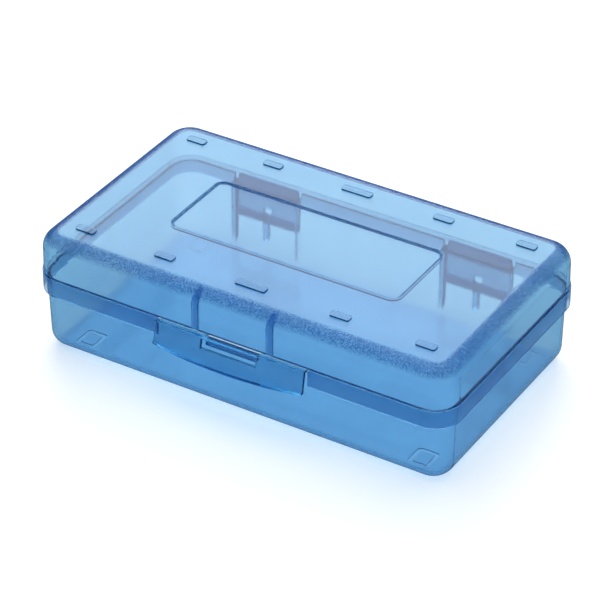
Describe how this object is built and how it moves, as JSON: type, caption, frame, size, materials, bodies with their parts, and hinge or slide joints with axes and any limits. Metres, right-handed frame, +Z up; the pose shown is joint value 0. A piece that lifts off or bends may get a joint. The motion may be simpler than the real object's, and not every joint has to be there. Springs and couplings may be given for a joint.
{
  "type": "pencil box",
  "caption": "Shallow rounded art supply box with a deep hinged lid, a recessed label panel and a front latch flap that flexes out to release the lid.",
  "frame": {"origin": "centre of the flat underside, on the surface the box stands on, and centred between the rim band's faces", "axes": "+X along the length towards the right-hand end seen from the latch, -Y towards the latch, +Z up through the lid"},
  "size_m": [0.214, 0.1335, 0.0608],
  "materials": {
    "blue_plastic": "translucent blue polypropylene, smooth on the flats and finely textured on the lid's rounded edges"
  },
  "bodies": {
    "base": {"base_tray": "blue_plastic", "catch_ledge": "blue_plastic", "hinge_pin_left": "blue_plastic", "hinge_pin_right": "blue_plastic"},
    "lid": {"lid_shell": "blue_plastic", "hinge_leaf_left": "blue_plastic", "hinge_leaf_right": "blue_plastic"},
    "latch": {"latch_flap": "blue_plastic"}
  },
  "joints": [
    {"name": "lid_hinge", "type": "hinge", "parent": "base", "child": "lid", "pos_m": [0, 0.0592, 0.0192], "axis": [-1, 0, 0], "range_deg": [0, 110]},
    {"name": "latch_flex", "type": "hinge", "parent": "lid", "child": "latch", "pos_m": [0, -0.0619, 0.04], "axis": [-1, 0, 0], "range_deg": [0, 10], "stiffness_Nm_per_rad": 0.29}
  ]
}
